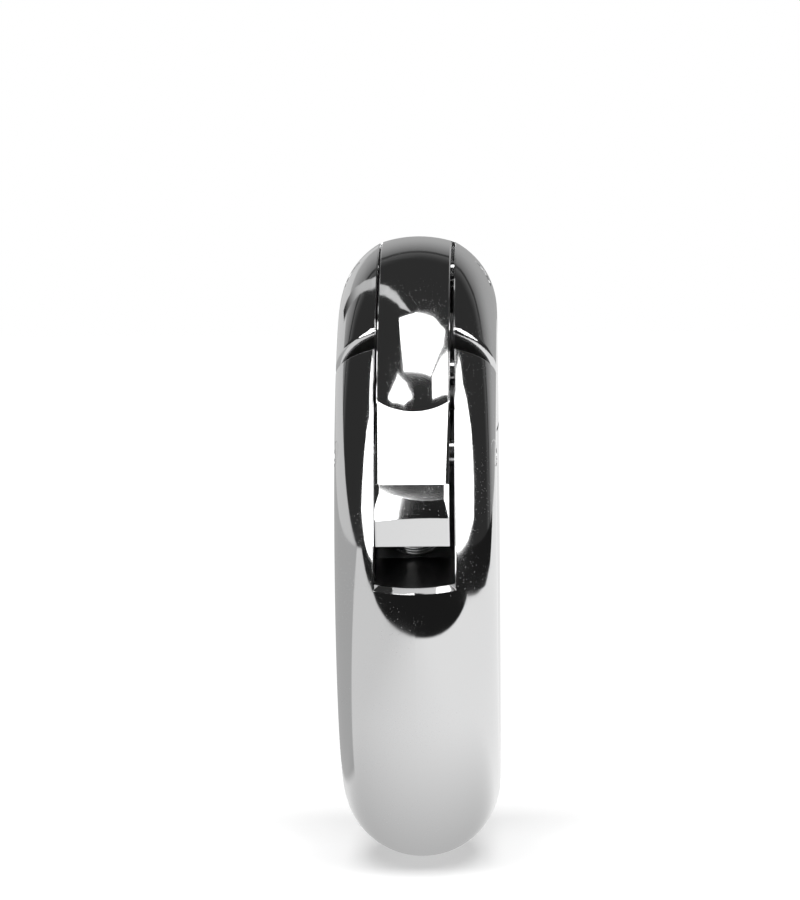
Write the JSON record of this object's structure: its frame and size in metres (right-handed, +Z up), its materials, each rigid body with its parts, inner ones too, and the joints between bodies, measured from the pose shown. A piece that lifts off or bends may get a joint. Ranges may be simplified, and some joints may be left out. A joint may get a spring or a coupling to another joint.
{
  "type": "opening ring",
  "caption": "Heavy polished ring of round bar whose upper arm swings open on a spring-loaded thumb lever, to close round an anchor chain or line.",
  "frame": {"origin": "centre of the ring, on its axis and in its middle plane", "axes": "+X along the ring's axis, -Y towards the thumb lever, +Z up through the hinged arm"},
  "size_m": [0.0374, 0.1601, 0.1492],
  "materials": {
    "polished_body": "mirror polished stainless steel with faint polishing marks",
    "polished_arm": "mirror polished stainless steel with faint polishing marks",
    "polished_lever": "mirror polished stainless steel",
    "pin_steel": "polished stainless steel, ground flush",
    "bush_bronze": "plain bearing bronze",
    "spring_steel": "drawn stainless spring wire"
  },
  "bodies": {
    "body": {"ring_body": "polished_body", "hinge_pin": "pin_steel", "return_spring": "spring_steel"},
    "gate": {"gate_arm": "polished_arm", "thumb_lever": "polished_lever", "arm_pin_lower": "pin_steel", "arm_pin_upper": "pin_steel", "hinge_bush": "bush_bronze"}
  },
  "joints": [
    {"name": "gate_hinge", "type": "hinge", "parent": "body", "child": "gate", "pos_m": [0, -0.0549, 0.0238], "axis": [1, 0, 0], "range_deg": [0, 24], "stiffness_Nm_per_rad": 1.5, "deforming": ["return_spring"]}
  ]
}
